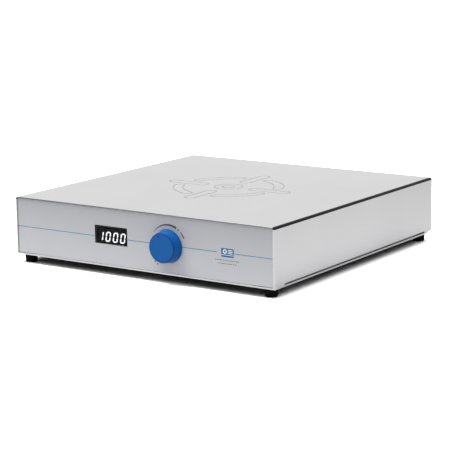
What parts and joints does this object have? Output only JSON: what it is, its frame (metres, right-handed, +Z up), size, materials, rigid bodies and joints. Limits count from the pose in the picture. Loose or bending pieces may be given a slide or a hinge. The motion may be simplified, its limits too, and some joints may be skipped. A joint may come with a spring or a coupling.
{
  "type": "magnetic stirrer",
  "caption": "Square stainless bench magnetic stirrer with engraved lid, grey front, LED speed display, blue speed knob, rubber feet, rear mains inlet and rocker switch.",
  "frame": {"origin": "on the table, under the middle of the whole box, knob and rear parts included", "axes": "+Z up, the front with its display and knob faces -Y, +X to the right seen from the front"},
  "size_m": [0.45, 0.4702, 0.098],
  "materials": {
    "hood_steel": "brushed stainless sheet",
    "base_steel": "plain stainless sheet",
    "panel_aluminium": "anodised sheet",
    "label_foil": "satin printed foil",
    "window_lens": "smoked acrylic",
    "led_black": "matt",
    "led_lit": "lit white",
    "board_laminate": "green circuit board",
    "knob_blue": "satin moulded",
    "brass": "machined",
    "bright_steel": "zinc plated",
    "foot_rubber": "moulded",
    "black_plastic": "moulded",
    "fuse_glass": "clear tube",
    "plated_steel": "zinc plated sheet",
    "motor_aluminium": "machined",
    "core_steel": "laminated",
    "copper_wire": "enamelled copper",
    "magnet_nickel": "nickel plated",
    "capacitor_sleeve": "shrink sleeve",
    "heat_sink_black": "black anodised",
    "coil_tape": "polyester tape",
    "lead_insulation": "insulation"
  },
  "bodies": {
    "case": {"top_cover": "hood_steel", "cover_brackets": "hood_steel", "base_plate": "base_steel", "front_panel": "panel_aluminium", "rear_panel": "panel_aluminium", "front_label": "label_foil", "display_window": "window_lens", "display_block": "led_black", "display_digits": "led_lit", "display_board": "board_laminate", "main_board": "board_laminate", "pot_bushing": "brass", "contact_blades": "brass", "base_screws": "bright_steel", "foot_screws": "bright_steel", "pot_nut": "bright_steel", "cover_screws": "bright_steel", "inlet_screws": "bright_steel", "earth_stud": "bright_steel", "damper_screws": "bright_steel", "motor_bolts": "bright_steel", "board_pillars": "bright_steel", "board_screws": "bright_steel", "transformer_bolt": "bright_steel", "transformer_clamp": "bright_steel", "bearings": "bright_steel", "rubber_feet": "foot_rubber", "motor_dampers": "foot_rubber", "inlet_body": "black_plastic", "switch_frame": "black_plastic", "board_parts": "black_plastic", "speed_sensor": "black_plastic", "pot_body": "plated_steel", "motor_plate": "plated_steel", "motor_pillars": "plated_steel", "motor_housing": "motor_aluminium", "motor_top_cover": "motor_aluminium", "motor_bottom_cover": "motor_aluminium", "stator_core": "core_steel", "stator_coils": "copper_wire", "capacitors": "capacitor_sleeve", "heat_sink": "heat_sink_black", "transformer_coil": "coil_tape", "mains_leads": "lead_insulation", "motor_lead": "lead_insulation", "display_cable": "lead_insulation"},
    "speed_control": {"speed_knob": "knob_blue", "knob_cap": "knob_blue", "knob_collet": "brass", "pot_shaft": "bright_steel"},
    "stirring_drive": {"rotor": "core_steel", "motor_shaft": "bright_steel", "magnet_hub": "motor_aluminium", "yoke_plate": "plated_steel", "magnet_carrier": "motor_aluminium", "drive_magnets": "magnet_nickel", "carrier_screws": "bright_steel"},
    "power_rocker": {"power_rocker": "black_plastic"},
    "fuse_drawer": {"fuse_drawer": "black_plastic", "fuses": "fuse_glass"}
  },
  "joints": [
    {"name": "speed_knob_turn", "type": "hinge", "parent": "case", "child": "speed_control", "pos_m": [0.0503, -0.21985, 0.0536], "axis": [0, 1, 0], "range_deg": [-117, 153]},
    {"name": "drive_spin", "type": "hinge", "parent": "case", "child": "stirring_drive", "pos_m": [0, 0.00515, 0.05], "axis": [0, 0, 1], "continuous": true},
    {"name": "power_rocker_tilt", "type": "hinge", "parent": "case", "child": "power_rocker", "pos_m": [-0.095, 0.22715, 0.057], "axis": [-1, 0, 0], "range_deg": [0, 24]},
    {"name": "fuse_drawer_slide", "type": "slide", "parent": "case", "child": "fuse_drawer", "axis": [0, 1, 0], "range_m": [0, 0.022]}
  ]
}
